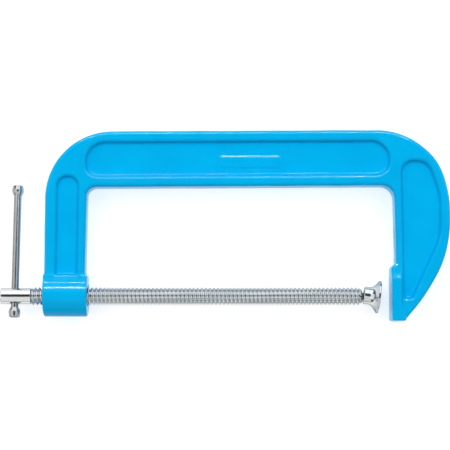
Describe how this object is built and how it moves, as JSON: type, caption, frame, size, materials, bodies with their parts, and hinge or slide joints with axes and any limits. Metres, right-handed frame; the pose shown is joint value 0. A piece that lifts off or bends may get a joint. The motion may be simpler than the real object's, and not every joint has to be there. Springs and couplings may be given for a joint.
{
  "type": "c clamp",
  "caption": "Cast C clamp lying flat: deep C-shaped frame with recessed web, right-hand screw with sliding T-bar, and tilting round pad facing a flat fixed jaw.",
  "frame": {"origin": "middle of the fixed jaw's flat face, on the screw's axis", "axes": "+X along the screw from the handle towards the fixed jaw and out of the jaw's back, +Y from the screw's axis towards the spine, +Z out of the casting's broad side, up when the clamp lies flat"},
  "size_m": [0.3215, 0.1368, 0.0292],
  "materials": {
    "blue_enamel": "gloss sky-blue enamel over cast iron",
    "zinc_plated_screw": "bright zinc plating",
    "zinc_plated_pad": "bright zinc plating",
    "zinc_plated_bar": "bright zinc plating",
    "zinc_plated_steel": "bright zinc plating"
  },
  "bodies": {
    "casting": {"frame": "blue_enamel"},
    "screw_end": {"spindle_neck": "zinc_plated_screw"},
    "screw": {"spindle": "zinc_plated_screw"},
    "ball": {"swivel_ball": "zinc_plated_screw"},
    "pad": {"swivel_pad": "zinc_plated_pad"},
    "handle": {"handle_bar": "zinc_plated_bar", "handle_cap_upper": "zinc_plated_steel", "handle_cap_lower": "zinc_plated_steel"}
  },
  "joints": [
    {"name": "spindle_travel", "type": "slide", "parent": "casting", "child": "screw_end", "axis": [1, 0, 0], "range_m": [-0.1956, 0.005]},
    {"name": "spindle_turn", "type": "hinge", "parent": "screw_end", "child": "screw", "pos_m": [-0.14, 0, 0], "axis": [1, 0, 0], "range_deg": [-24281.37, 620.68]},
    {"name": "pad_tilt", "type": "hinge", "parent": "screw_end", "child": "ball", "pos_m": [-0.0132, 0, 0], "axis": [0, 1, 0], "range_deg": [-8, 8]},
    {"name": "pad_swing", "type": "hinge", "parent": "ball", "child": "pad", "pos_m": [-0.0132, 0, 0], "axis": [0, 0, 1], "range_deg": [-0.6, 15.4]},
    {"name": "handle_slide", "type": "slide", "parent": "screw", "child": "handle", "axis": [0, 0.9914, -0.1305], "range_m": [-0.0679, 0.0021]}
  ],
  "couplings": [
    {"joint": "spindle_travel", "follows": "spindle_turn", "m_per_rad": 0.00046155}
  ]
}
